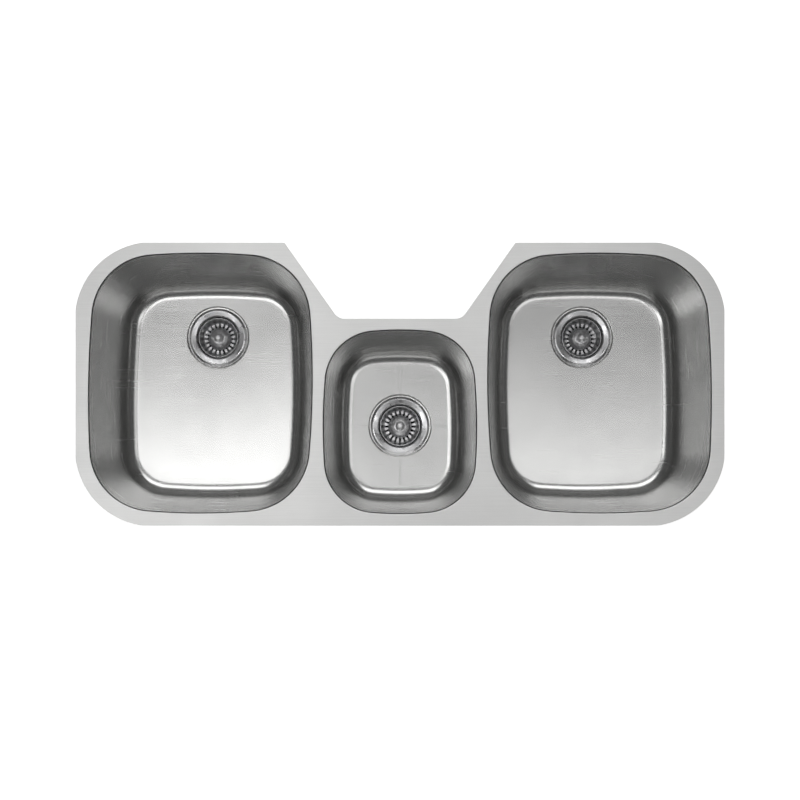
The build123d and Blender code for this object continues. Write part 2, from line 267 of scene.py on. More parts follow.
@dataclass(frozen=True)
class TurnedStainless(Finish):
    """304 stainless steel, spun or turned on a lathe and then buffed to a satin.

    The eye sees a soft metal gleam with faint rings round the axis and a few duller smears.
    """

    ring_mm: float = 8.8
    ring_depth_mm: float = 0.01
    smears_per_metre: float = 90.0
    best_buffed: float = 0.75
    least_buffed: float = 1.35
    centre: tuple[float, float] = (0.0, 0.0)

    def material(self) -> bpy.types.Material:
        """Build the material."""
        material, tree, shader = self.start()
        shader.inputs["Metallic"].default_value = 1.0
        place = add_node(tree, "ShaderNodeTexCoord")
        centred = add_node(
            tree,
            "ShaderNodeMapping",
            Vector=place.outputs["Object"],
            Location=(-self.centre[0], -self.centre[1], 0.0),
        )
        rings = add_node(
            tree,
            "ShaderNodeTexWave",
            {"wave_type": "RINGS", "rings_direction": "Z"},
            Vector=centred.outputs[0],
            Scale=2 * math.pi / (self.ring_mm * MM * WAVE_TURN),
            Distortion=0.6,
            Detail=2.0,
            Detail_Scale=2.0,
        )
        self.emboss(tree, shader, rings.outputs["Fac"], self.ring_depth_mm)
        smears = add_node(
            tree, "ShaderNodeTexNoise", Vector=centred.outputs[0], Scale=self.smears_per_metre, Detail=3.0
        )
        smoothest = self.roughness * self.best_buffed
        roughest = self.roughness * self.least_buffed
        rough = vary(tree, smears.outputs["Fac"], smoothest, roughest)
        tree.links.new(rough, shader.inputs["Roughness"])
        return material


@dataclass(frozen=True)
class Grained(Finish):
    """A material with a fine, even grain: moulded rubber, pressed card, putty, cast zinc, and the dark
    painted shade on the deck's lips.

    The eye sees a plain, faintly speckled surface with soft highlights.
    """

    metallic: float = 0.0
    grain_mm: float = 1.0
    grain_depth_mm: float = 0.05
    variation: float = 0.15

    def material(self) -> bpy.types.Material:
        """Build the material."""
        material, tree, shader = self.start()
        shader.inputs["Metallic"].default_value = self.metallic
        place = add_node(tree, "ShaderNodeTexCoord")
        grain = add_node(
            tree,
            "ShaderNodeTexNoise",
            Vector=place.outputs["Object"],
            Scale=1 / (self.grain_mm * MM),
            Detail=4.0,
            Roughness=0.6,
        )
        tone = vary(tree, grain.outputs["Fac"], 1 - self.variation, 1 + self.variation)
        self.tint(tree, shader, tone)
        self.emboss(tree, shader, grain.outputs["Fac"], self.grain_depth_mm)
        return material


def dress(node: str, material: bpy.types.Material) -> None:
    """Give a node of the frame its material."""
    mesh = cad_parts[node].data
    mesh.materials.clear()
    mesh.materials.append(material)


@dataclass(frozen=True)
class Arc:
    """One arc of a mouth's outline, run anticlockwise."""

    centre: tuple[float, float]
    radius: float
    start: float
    end: float
    steps: int


@dataclass
class Mouth:
    """Outline of a bowl's mouth: four wide arcs joined by corner arcs.

    Hand is 1 where the outer side is +X and -1 where it is -X. A bulge is the radius of a wide arc, and
    a peak is how far towards +Y of the mouth's centre a side reaches furthest out.
    Growing the outline moves every arc parallel to itself, so all the bowl's rings share one rule.
    """

    hand: int
    centre: tuple[float, float]
    width: float
    length: float
    corner_radius: float
    outer_bulge: float
    inner_bulge: float
    end_bulge: float
    outer_peak: float
    inner_peak: float
    side_steps: int = 28
    corner_steps: int = 22

    def wide_arcs(self) -> list[tuple[tuple[float, float], float]]:
        """Centres and radii of the +X, +Y, -X and -Y sides."""
        x, y = self.centre
        side, end = self.width / 2, self.length / 2
        right_outer = self.hand > 0
        bulge = {True: self.outer_bulge, False: self.inner_bulge}
        peak = {True: self.outer_peak, False: self.inner_peak}
        return [
            ((x + side - bulge[right_outer], y + peak[right_outer]), bulge[right_outer]),
            ((x, y + end - self.end_bulge), self.end_bulge),
            ((x - side + bulge[not right_outer], y + peak[not right_outer]), bulge[not right_outer]),
            ((x, y - end + self.end_bulge), self.end_bulge),
        ]

    def corner_centre(self, first: int) -> tuple[float, float]:
        """Centre of the corner arc between a side and the next one.

        Args:
            first: number of the side before the corner.

        Returns:
            The point that lies a corner radius inside both sides.
        """
        wide = self.wide_arcs()
        (here, here_radius), (there, there_radius) = wide[first], wide[(first + 1) % 4]
        from_here = here_radius - self.corner_radius
        from_there = there_radius - self.corner_radius
        gap = math.dist(here, there)
        along = (from_here * from_here - from_there * from_there + gap * gap) / (2 * gap)
        aside = math.sqrt(from_here * from_here - along * along)
        ahead_x, ahead_y = (there[0] - here[0]) / gap, (there[1] - here[1]) / gap
        foot_x, foot_y = here[0] + ahead_x * along, here[1] + ahead_y * along
        options = [(foot_x - ahead_y * side, foot_y + ahead_x * side) for side in (aside, -aside)]
        turn = math.radians(45 + 90 * first)
        return max(options, key=lambda option: option[0] * math.cos(turn) + option[1] * math.sin(turn))

    def arcs(self) -> list[Arc]:
        """The eight arcs in order, starting with the +X side."""
        wide = self.wide_arcs()
        corners = [self.corner_centre(number) for number in range(4)]

        def heading(origin: tuple[float, float], target: tuple[float, float]) -> float:
            return math.atan2(target[1] - origin[1], target[0] - origin[0])

        arcs = []
        for number, (middle, radius) in enumerate(wide):
            before, after = corners[(number - 1) % 4], corners[number]
            start, end = heading(middle, before), heading(middle, after)
            following = wide[(number + 1) % 4][0]
            corner_end = heading(following, after)
            end += 2 * math.pi if end < start else 0.0
            corner_start = end
            corner_end += 2 * math.pi * math.ceil((corner_start - corner_end) / (2 * math.pi))
            arcs.append(Arc(middle, radius, start, end, self.side_steps))
            arcs.append(Arc(after, self.corner_radius, corner_start, corner_end, self.corner_steps))
        return arcs

    def places(self) -> list[tuple[float, float, float, float, float]]:
        """Arc centre, arc radius and outward direction at each point round the mouth."""
        found = []
        for arc in self.arcs():
            for step in range(arc.steps):
                angle = arc.start + (arc.end - arc.start) * step / arc.steps
                found.append((*arc.centre, arc.radius, math.cos(angle), math.sin(angle)))
        return found

    def ring(self, grow: float, height: float) -> list[Vector]:
        """Points of the outline, moved outwards by a distance, at a height."""
        return [move_out(place, grow, height) for place in self.places()]


def move_out(place: tuple[float, float, float, float, float], grow: float, height: float) -> Vector:
    """Point at a place on a mouth's outline, moved outwards.

    Args:
        place: one entry of the mouth's places.
        grow: how far outwards, or inwards if negative.
        height: the point's Z.

    Returns:
        The point.
    """
    x, y, radius, cosine, sine = place
    return Vector((x + (radius + grow) * cosine, y + (radius + grow) * sine, height))


class SectionRow(NamedTuple):
    """One row of a pressed surface's section, from its top to its drain.

    The row lies a distance outwards from the mouth at a height. Past the rounded foot it leaves the
    mouth's outline by a share of the way to a circle round the drain. Fall says how much of the
    floor's slope lifts it.
    """

    outwards: float
    height: float
    circle: float = 0.0
    share: float = 0.0
    fall: float = 0.0


def new_tree(name: str, inputs: dict[str, str]) -> tuple[bpy.types.GeometryNodeTree, bpy.types.Node]:
    """Start a geometry tree that takes a mesh and some sizes.

    Args:
        name: the tree's name.
        inputs: socket type of each named size, without its prefix.

    Returns:
        The tree and the node that gives its inputs.
    """
    tree = bpy.data.node_groups.new(name, "GeometryNodeTree")
    tree.interface.new_socket("Geometry", in_out="INPUT", socket_type="NodeSocketGeometry")
    for label, kind in inputs.items():
        tree.interface.new_socket(label, in_out="INPUT", socket_type=f"NodeSocket{kind}")
    tree.interface.new_socket("Geometry", in_out="OUTPUT", socket_type="NodeSocketGeometry")
    return tree, tree.nodes.new("NodeGroupInput")


def end_tree(
    tree: bpy.types.GeometryNodeTree, geometry: bpy.types.NodeSocket, material: bpy.types.NodeSocket
) -> None:
    """Finish a geometry tree with real geometry in one material.

    Args:
        tree: the tree.
        geometry: what the tree has made.
        material: the socket that gives the material.
    """
    real = add_node(tree, "GeometryNodeRealizeInstances", Geometry=geometry)
    made = add_node(tree, "GeometryNodeSetMaterial", Geometry=real.outputs[0], Material=material)
    add_node(tree, "NodeGroupOutput", Geometry=made.outputs[0])


def grow(
    points: bpy.types.Mesh, tree: bpy.types.GeometryNodeTree, sizes: dict[str, object]
) -> bpy.types.Mesh:
    """Run a geometry tree on a mesh.

    Args:
        points: the mesh that it starts from, which is removed.
        tree: the tree.
        sizes: a value for each of its named inputs.

    Returns:
        The plain mesh that it makes.
    """
    carrier = bpy.data.objects.new("carrier", points)
    bpy.context.scene.collection.objects.link(carrier)
    modifier = carrier.modifiers.new(tree.name, "NODES")
    modifier.node_group = tree
    for item in tree.interface.items_tree:
        if item.item_type == "SOCKET" and item.in_out == "INPUT" and item.name in sizes:
            modifier[item.identifier] = sizes[item.name]
    bpy.context.view_layer.update()
    depsgraph = bpy.context.evaluated_depsgraph_get()
    made = bpy.data.meshes.new_from_object(carrier.evaluated_get(depsgraph), depsgraph=depsgraph)
    carrier.modifiers.remove(modifier)
    bpy.data.objects.remove(carrier)
    bpy.data.meshes.remove(points)
    return made


def add_piece(name: str, mesh: bpy.types.Mesh) -> bpy.types.Object:
    """Put a finished mesh in the scene as an object at the origin."""
    mesh.name = name
    piece = bpy.data.objects.new(name, mesh)
    bpy.context.scene.collection.objects.link(piece)
    return piece


def thicken(piece: bpy.types.Object, thickness: float, edge: float) -> None:
    """Give a sheet its thickness on the side away from its faces, and break its sharp edges."""
    sheet = piece.modifiers.new("sheet", "SOLIDIFY")
    sheet.thickness = thickness
    sheet.offset = -1.0
    sheet.use_even_offset = True
    broken = piece.modifiers.new("broken edges", "BEVEL")
    broken.width = edge
    broken.segments = 2
    broken.limit_method = "ANGLE"
    broken.angle_limit = math.radians(50)
    broken.harden_normals = True


class PressTree:
    """Geometry tree of the rule that every pressed surface here follows.

    A grid has a column for each place round the mouth and a row for each row of the section. Each of
    its points is moved to where its place and its row put it. The grain map runs along the mouth on
    the walls and along X on what lies level.
    """

    def __init__(self) -> None:
        """Build the tree."""
        sizes = {
            "Columns": "Int",
            "Rows": "Int",
            "Walls end at row": "Int",
            "Drain": "Vector",
            "Level radius": "Float",
            "Floor inset": "Float",
            "Floor slope": "Float",
            "Wall slope": "Float",
            "Material": "Material",
        }
        self.tree, given = new_tree("pressed sheet", sizes)
        self.given = given.outputs
        grid = add_node(
            self.tree,
            "GeometryNodeMeshGrid",
            Vertices_X=self.plus_one("Columns"),
            Vertices_Y=self.given["Rows"],
        )
        self.index = add_node(self.tree, "GeometryNodeInputIndex").outputs[0]
        column = add_node(
            self.tree, "ShaderNodeMath", {"operation": "DIVIDE"}, i0=self.index, i1=self.given["Rows"]
        )
        column = add_node(self.tree, "ShaderNodeMath", {"operation": "FLOOR"}, i0=column.outputs[0])
        row = add_node(
            self.tree, "ShaderNodeMath", {"operation": "MODULO"}, i0=self.index, i1=self.given["Rows"]
        )
        row = add_node(
            self.tree,
            "ShaderNodeMath",
            {"operation": "ADD"},
            i0=row.outputs[0],
            i1=self.plus_one("Columns"),
        )
        along = self.sample("along", "FLOAT", column.outputs[0])
        placed = add_node(
            self.tree,
            "GeometryNodeSetPosition",
            Geometry=grid.outputs["Mesh"],
            Position=self.position(column.outputs[0], row.outputs[0]),
        )
        kept = add_node(
            self.tree,
            "GeometryNodeStoreNamedAttribute",
            {"data_type": "FLOAT", "domain": "POINT"},
            Geometry=placed.outputs[0],
            Name="along",
            Value=along,
        )
        mapped = add_node(
            self.tree,
            "GeometryNodeStoreNamedAttribute",
            {"data_type": "FLOAT2", "domain": "CORNER"},
            Geometry=kept.outputs[0],
            Name=Grain.MAP.value,
            Value=self.grain(),
        )
        plain = add_node(self.tree, "GeometryNodeRemoveAttribute", Geometry=mapped.outputs[0], Name="along")
        closed = add_node(
            self.tree, "GeometryNodeMergeByDistance", Geometry=plain.outputs[0], Distance=TOUCHING
        )
        smooth = add_node(self.tree, "GeometryNodeSetShadeSmooth", Geometry=closed.outputs[0])
        end_tree(self.tree, smooth.outputs[0], self.given["Material"])

    def plus_one(self, label: str) -> bpy.types.NodeSocket:
        """One more than a named input."""
        return add_node(
            self.tree, "ShaderNodeMath", {"operation": "ADD"}, i0=self.given[label], i1=1.0
        ).outputs[0]

    def sample(self, attribute: str, kind: str, index: bpy.types.NodeSocket) -> bpy.types.NodeSocket:
        """Read an attribute of the points that the tree was given.

        Args:
            attribute: its name.
            kind: its data type.
            index: which point to read.

        Returns:
            The value's socket.
        """
        named = add_node(self.tree, "GeometryNodeInputNamedAttribute", {"data_type": kind}, Name=attribute)
        sampled = add_node(
            self.tree,
            "GeometryNodeSampleIndex",
            {"data_type": kind, "domain": "POINT"},
            Geometry=self.given["Geometry"],
            Value=named.outputs["Attribute"],
            Index=index,
        )
        return sampled.outputs["Value"]

    def lift(self, spot: bpy.types.NodeSocket) -> bpy.types.NodeSocket:
        """Height that the falling floor has gained at a spot, above its level part."""
        tree, given = self.tree, self.given
        away = add_node(tree, "ShaderNodeVectorMath", {"operation": "DISTANCE"}, i0=spot, i1=given["Drain"])
        past = add_node(
            tree,
            "ShaderNodeMath",
            {"operation": "SUBTRACT"},
            i0=away.outputs["Value"],
            i1=given["Level radius"],
        )
        past = add_node(tree, "ShaderNodeMath", {"operation": "MAXIMUM"}, i0=past.outputs[0], i1=0.0)
        lift = add_node(
            tree, "ShaderNodeMath", {"operation": "MULTIPLY"}, i0=past.outputs[0], i1=given["Floor slope"]
        )
        return lift.outputs[0]

    def position(self, column: bpy.types.NodeSocket, row: bpy.types.NodeSocket) -> bpy.types.NodeSocket:
        """Where the rule puts a point of the grid.

        Args:
            column: index of its place on the mouth.
            row: index of its row of the section.

        Returns:
            The position's socket.
        """
        tree, given = self.tree, self.given
        place = self.sample("position", "FLOAT_VECTOR", column)
        outward = self.sample("outward", "FLOAT_VECTOR", column)
        step = add_node(tree, "ShaderNodeSeparateXYZ", Vector=self.sample("step", "FLOAT_VECTOR", row))
        blend = add_node(tree, "ShaderNodeSeparateXYZ", Vector=self.sample("blend", "FLOAT_VECTOR", row))
        inset = add_node(
            tree,
            "ShaderNodeVectorMath",
            {"operation": "MULTIPLY_ADD"},
            i0=outward,
            i1=given["Floor inset"],
            i2=place,
        )
        edge_lift = self.lift(inset.outputs[0])
        foot_lift = add_node(
            tree, "ShaderNodeMath", {"operation": "MULTIPLY"}, i0=edge_lift, i1=blend.outputs["Y"]
        )
        reach = add_node(
            tree,
            "ShaderNodeMath",
            {"operation": "MULTIPLY_ADD"},
            i0=foot_lift.outputs[0],
            i1=given["Wall slope"],
            i2=step.outputs["X"],
        )
        foot = add_node(
            tree,
            "ShaderNodeVectorMath",
            {"operation": "MULTIPLY_ADD"},
            i0=outward,
            i1=reach.outputs[0],
            i2=place,
        )
        away = add_node(
            tree, "ShaderNodeVectorMath", {"operation": "SUBTRACT"}, i0=foot.outputs[0], i1=given["Drain"]
        )
        heading = add_node(tree, "ShaderNodeVectorMath", {"operation": "NORMALIZE"}, i0=away.outputs[0])
        circle = add_node(
            tree,
            "ShaderNodeVectorMath",
            {"operation": "MULTIPLY_ADD"},
            i0=heading.outputs[0],
            i1=step.outputs["Z"],
            i2=given["Drain"],
        )
        spot = add_node(
            tree,
            "ShaderNodeMix",
            {"data_type": "VECTOR"},
            i0=blend.outputs["X"],
            i4=foot.outputs[0],
            i5=circle.outputs[0],
        )
        on_floor = add_node(
            tree, "ShaderNodeMath", {"operation": "GREATER_THAN"}, i0=blend.outputs["X"], i1=0.0
        )
        lift = add_node(
            tree,
            "ShaderNodeMix",
            {"data_type": "FLOAT"},
            i0=on_floor.outputs[0],
            i2=edge_lift,
            i3=self.lift(spot.outputs[1]),
        )
        height = add_node(
            tree,
            "ShaderNodeMath",
            {"operation": "MULTIPLY_ADD"},
            i0=lift.outputs[0],
            i1=blend.outputs["Y"],
            i2=step.outputs["Y"],
        )
        upright = add_node(tree, "ShaderNodeCombineXYZ", Z=height.outputs[0])
        return add_node(
            tree, "ShaderNodeVectorMath", {"operation": "ADD"}, i0=spot.outputs[1], i1=upright.outputs[0]
        ).outputs[0]

    def grain(self) -> bpy.types.NodeSocket:
        """Grain map of a face's corner: length along the mouth and height on a wall, else X and Y."""
        tree, given = self.tree, self.given
        place = add_node(tree, "GeometryNodeInputPosition")
        parts = add_node(tree, "ShaderNodeSeparateXYZ", Vector=place.outputs[0])
        along = add_node(tree, "GeometryNodeInputNamedAttribute", {"data_type": "FLOAT"}, Name="along")
        wall = add_node(tree, "ShaderNodeCombineXYZ", X=along.outputs["Attribute"], Y=parts.outputs["Z"])
        face = add_node(
            tree, "GeometryNodeFieldOnDomain", {"data_type": "INT", "domain": "FACE"}, Value=self.index
        )
        rows = add_node(tree, "ShaderNodeMath", {"operation": "SUBTRACT"}, i0=given["Rows"], i1=1.0)
        row = add_node(
            tree, "ShaderNodeMath", {"operation": "MODULO"}, i0=face.outputs[0], i1=rows.outputs[0]
        )
        on_wall = add_node(
            tree,
            "ShaderNodeMath",
            {"operation": "LESS_THAN"},
            i0=row.outputs[0],
            i1=given["Walls end at row"],
        )
        return add_node(
            tree,
            "GeometryNodeSwitch",
            {"input_type": "VECTOR"},
            i0=on_wall.outputs[0],
            i1=place.outputs[0],
            i2=wall.outputs[0],
        ).outputs[0]

    def press(
        self,
        mouth: Mouth,
        section: list[SectionRow],
        material: bpy.types.Material,
        walls_end: int = 0,
        **sizes: object,
    ) -> bpy.types.Mesh:
        """Press a sheet to a mouth and a section.

        Args:
            mouth: the outline that the sheet hangs from.
            section: its rows from the top down.
            material: what it is made of.
            walls_end: number of the row where the brushing turns from the mouth's run to X.
            **sizes: the tree's other inputs, with underscores for spaces.

        Returns:
            The sheet's upper and inner surface.
        """
        places = mouth.places()
        places.append(places[0])
        outline = [move_out(place, 0.0, 0.0) for place in places]
        along = [0.0]
        for before, after in zip(outline, outline[1:]):
            along.append(along[-1] + (after - before).length)
        no_places = [(0.0, 0.0, 0.0)] * len(places)
        no_rows = [(0.0, 0.0, 0.0)] * len(section)
        points = bpy.data.meshes.new("places and section")
        points.from_pydata([*outline, *no_rows], [], [])
        outward = [(place[3], place[4], 0.0) for place in places]
        steps = [(row.outwards, row.height, row.circle) for row in section]
        blends = [(row.share, row.fall, 0.0) for row in section]
        columns = {
            "outward": ("FLOAT_VECTOR", "vector", [*outward, *no_rows]),
            "along": ("FLOAT", "value", [*along, *([0.0] * len(section))]),
            "step": ("FLOAT_VECTOR", "vector", [*no_places, *steps]),
            "blend": ("FLOAT_VECTOR", "vector", [*no_places, *blends]),
        }
        for name, (kind, key, values) in columns.items():
            attribute = points.attributes.new(name, kind, "POINT")
            for item, value in zip(attribute.data, values):
                setattr(item, key, value)
        given = {
            "Columns": len(places) - 1,
            "Rows": len(section),
            "Walls end at row": walls_end,
            "Material": material,
        }
        given |= {label.replace("_", " "): value for label, value in sizes.items()}
        return grow(points, self.tree, given)


@dataclass
class Pressing:
    """Sizes that the deck and the bowls share."""

    sheet: float = 1.2 * MM
    draft: float = math.radians(8)
    lip_radius: float = 3.2 * MM
    collar_height: float = 8 * MM
    floor_radius: float = 25 * MM
    floor_fall: float = math.radians(1)
    recess_radius: float = 59 * MM
    recess_depth: float = 4 * MM
    recess_edge: float = 2 * MM
    recess_root: float = 1 * MM
    drain_hole: float = 44.5 * MM
    broken_edge: float = 0.2 * MM


@dataclass
class BowlPiece:
    """A drawn bowl: drafted walls, a rounded foot, a floor that falls to the drain, and a recess."""

    side: Side
    mouth: Mouth
    drain: tuple[float, float]
    depth: float
    pressing: Pressing = field(default_factory=Pressing)
    wall_rows: int = 8
    foot_rows: int = 14
    floor_rows: int = 18
    curve_rows: int = 4

    @property
    def foot_height(self) -> float:
        """Height of the middle of the foot's rounding, where the floor is lowest."""
        return self.pressing.floor_radius - self.depth

    @property
    def floor_inset(self) -> float:
        """How far inside the mouth the floor starts, as a negative distance outwards."""
        draft = self.pressing.draft
        return self.foot_height * math.tan(draft) - self.pressing.floor_radius / math.cos(draft)

    def section(self) -> list[SectionRow]:
        """The inner surface, from the weld under the deck's collar to the drain hole."""
        press = self.pressing
        foot = []
        for row in range(self.foot_rows + 1):
            angle = press.draft + (math.pi / 2 - press.draft) * row / self.foot_rows
            outwards = self.floor_inset + press.floor_radius * math.cos(angle)
            height = self.foot_height - press.floor_radius * math.sin(angle)
            foot.append(SectionRow(outwards, height, fall=1.0))
        wall = []
        for row in range(self.wall_rows):
            share = row / self.wall_rows
            height = -press.collar_height + (foot[0].height + press.collar_height) * share
            wall.append(SectionRow(height * math.tan(press.draft), height, fall=share))
        return [*wall, *foot, *self.floor_section(), *self.recess_section()]

    def floor_section(self) -> list[SectionRow]:
        """The floor, from the foot to the recess's rounded edge."""
        rim = self.pressing.recess_radius + self.pressing.recess_edge
        rows = []
        for row in range(1, self.floor_rows + 1):
            share = math.sin(math.pi / 2 * row / self.floor_rows)
            rows.append(SectionRow(self.floor_inset, -self.depth, circle=rim, share=share, fall=1.0))
        return rows

    def recess_section(self) -> list[SectionRow]:
        """The recess that the strainer's flange sits in, down to the drain hole."""
        press = self.pressing
        rim = press.recess_radius + press.recess_edge
        profile = []
        for row in range(1, self.curve_rows + 1):
            angle = math.pi / 2 * row / self.curve_rows
            radius = rim - press.recess_edge * math.sin(angle)
            profile.append((radius, -press.recess_edge * (1 - math.cos(angle))))
        for row in range(self.curve_rows + 1):
            angle = math.pi / 2 * row / self.curve_rows
            radius = press.recess_radius - press.recess_root * (1 - math.cos(angle))
            profile.append((radius, press.recess_root * (1 - math.sin(angle)) - press.recess_depth))
        profile.append((press.recess_radius - 4 * press.recess_root, -press.recess_depth))
        profile.append((press.drain_hole, -press.recess_depth))
        inset = self.floor_inset
        return [SectionRow(inset, drop - self.depth, circle=radius, share=1.0) for radius, drop in profile]

    def build(self, tree: PressTree, material: bpy.types.Material) -> bpy.types.Object:
        """Build the bowl in place of its plain node, on the sink's body.

        Args:
            tree: the rule for a pressed sheet.
            material: what the bowl is made of.

        Returns:
            The bowl.
        """
        press = self.pressing
        mesh = tree.press(
            self.mouth,
            self.section(),
            material,
            walls_end=self.wall_rows + self.foot_rows // 2,
            Drain=(*self.drain, 0.0),
            Level_radius=press.recess_radius,
            Floor_inset=self.floor_inset,
            Floor_slope=math.tan(press.floor_fall),
            Wall_slope=math.tan(press.draft),
        )
        piece = add_piece(f"{self.side.value}_drawn_bowl", mesh)
        thicken(piece, press.sheet, press.broken_edge)
        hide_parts(f"{self.side.value}_bowl")
        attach(piece, SINK)
        log.info("%s: %d faces", piece.name, len(mesh.polygons))
        return piece


@dataclass
class DeckPiece:
    """The deck: a flat plate with a notch, and a rolled lip and collar round each mouth."""

    mouths: list[Mouth]
    length: float
    depth: float
    corner_radius: float = 140.5 * MM
    edge_trim: float = 1.3 * MM
    notch_depth: float = 136.8 * MM
    notch_mouth: float = 415.2 * MM
    notch_floor: float = 222.0 * MM
    notch_root: float = 22 * MM
    notch_tip: float = 3 * MM
    pressing: Pressing = field(default_factory=Pressing)
    lip_rows: int = 7
    corner_steps: int = 40
    notch_steps: int = 12
    support: float = 0.6 * MM
    # Top of the band of lip faces that get the painted shade: a dark material that stands in for the shadow
    # line round each mouth.
    shade_band_top: float = -0.3 * MM

    def rounded(
        self, before: Vector, corner: Vector, after: Vector, radius: float, steps: int
    ) -> list[Vector]:
        """Points of an arc that rounds one corner of the outline.

        Args:
            before: the outline's previous corner.
            corner: the corner to round.
            after: the outline's next corner.
            radius: the arc's radius.
            steps: how many pieces the arc has.

        Returns:
            The arc's points in order.
        """
        back = (before - corner).normalized()
        ahead = (after - corner).normalized()
        half = back.angle(ahead) / 2
        middle = corner + (back + ahead).normalized() * (radius / math.sin(half))
        first = corner + back * (radius / math.tan(half)) - middle
        last = corner + ahead * (radius / math.tan(half)) - middle
        turn = first.angle(last)
        points = []
        for step in range(steps + 1):
            share = step / steps
            blend = first * math.sin((1 - share) * turn) + last * math.sin(share * turn)
            points.append(middle + blend / math.sin(turn))
        return points

    def outline(self) -> list[Vector]:
        """The plate's outer edge, anticlockwise from the front right corner."""
        half, back = self.length / 2, self.depth / 2
        root = back - self.notch_depth
        points = self.trimmed_corner(1, -1)
        points += self.trimmed_corner(1, 1)
        turns = [
            Vector((half, back, 0)),
            Vector((self.notch_mouth / 2, back, 0)),
            Vector((self.notch_floor / 2, root, 0)),
            Vector((-self.notch_floor / 2, root, 0)),
            Vector((-self.notch_mouth / 2, back, 0)),
            Vector((-half, back, 0)),
        ]
        radii = [self.notch_tip, self.notch_root, self.notch_root, self.notch_tip]
        for number, radius in enumerate(radii, start=1):
            before, corner, after = turns[number - 1 : number + 2]
            points += self.rounded(before, corner, after, radius, self.notch_steps)
        points += self.trimmed_corner(-1, 1)
        points += self.trimmed_corner(-1, -1)
        return points

    def trimmed_corner(self, across: int, along: int) -> list[Vector]:
        """Corner arc whose ends the straight edges cut off, anticlockwise.

        Args:
            across: 1 for the right side and -1 for the left.
            along: 1 for the back and -1 for the front.

        Returns:
            The arc's points.
        """
        reach = self.corner_radius - self.edge_trim
        middle = Vector((across * (self.length / 2 - reach), along * (self.depth / 2 - reach), 0))
        cut = math.acos(reach / self.corner_radius)
        start = {(1, -1): 1.5, (1, 1): 0.0, (-1, 1): 0.5, (-1, -1): 1.0}[(across, along)] * math.pi
        points = []
        for step in range(self.corner_steps + 1):
            angle = start + cut + (math.pi / 2 - 2 * cut) * step / self.corner_steps
            points.append(middle + Vector((math.cos(angle), math.sin(angle), 0)) * self.corner_radius)
        return points

    def lip_section(self) -> list[SectionRow]:
        """The rolled lip and collar round a mouth, from the plate down."""
        press = self.pressing
        radius = press.lip_radius
        reach = radius * math.tan((math.pi / 2 - press.draft) / 2)
        rows = [SectionRow(reach + self.support, 0.0)]
        for row in range(self.lip_rows + 1):
            angle = (math.pi / 2 - press.draft) * row / self.lip_rows
            rows.append(SectionRow(reach - radius * math.sin(angle), radius * (math.cos(angle) - 1)))
        low = -press.collar_height
        rows.append(SectionRow(low * math.tan(press.draft), low))
        return rows

    def build(
        self, tree: PressTree, material: bpy.types.Material, lip_shade: bpy.types.Material
    ) -> bpy.types.Object:
        """Build the deck in place of its plain node, on the sink's body.

        Args:
            tree: the rule for a pressed sheet.
            material: what the deck is made of.
            lip_shade: a dark material on the lip below the plate's face, painted shade for the shadow line
                where the lip meets the bowl.

        Returns:
            The deck.
        """
        shape = bmesh.new()
        for mouth in self.mouths:
            lip = tree.press(mouth, self.lip_section(), material)
            shape.from_mesh(lip)
            bpy.data.meshes.remove(lip)
        # Lip faces below the plate's face get the dark material: painted shade for the shadow line where the
        # lip meets the bowl.
        for face in shape.faces:
            painted_shade_face = -self.pressing.lip_radius < face.calc_center_median().z < self.shade_band_top
            face.material_index = 1 if painted_shade_face else 0
        grain = shape.loops.layers.uv[Grain.MAP.value]
        edges = []
        for edge in shape.edges:
            if edge.is_boundary and min(end.co.z for end in edge.verts) > -TOUCHING:
                edges.append(edge)
        border = [shape.verts.new(point) for point in self.outline()]
        edges += [shape.edges.new((border[number - 1], corner)) for number, corner in enumerate(border)]
        filled = bmesh.ops.triangle_fill(shape, edges=edges, use_beauty=True, normal=(0, 0, 1))
        for face in [item for item in filled["geom"] if isinstance(item, bmesh.types.BMFace)]:
            face.smooth = True
            face.material_index = 0
            if face.normal.z < 0:
                face.normal_flip()
            for loop in face.loops:
                loop[grain].uv = loop.vert.co.xy
        mesh = bpy.data.meshes.new("pressed_deck")
        shape.to_mesh(mesh)
        shape.free()
        mesh.materials.append(material)
        mesh.materials.append(lip_shade)
        piece = add_piece("pressed_deck", mesh)
        thicken(piece, self.pressing.sheet, self.pressing.broken_edge)
        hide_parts("deck")
        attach(piece, SINK)
        log.info("%s: %d faces", piece.name, len(mesh.polygons))
        return piece


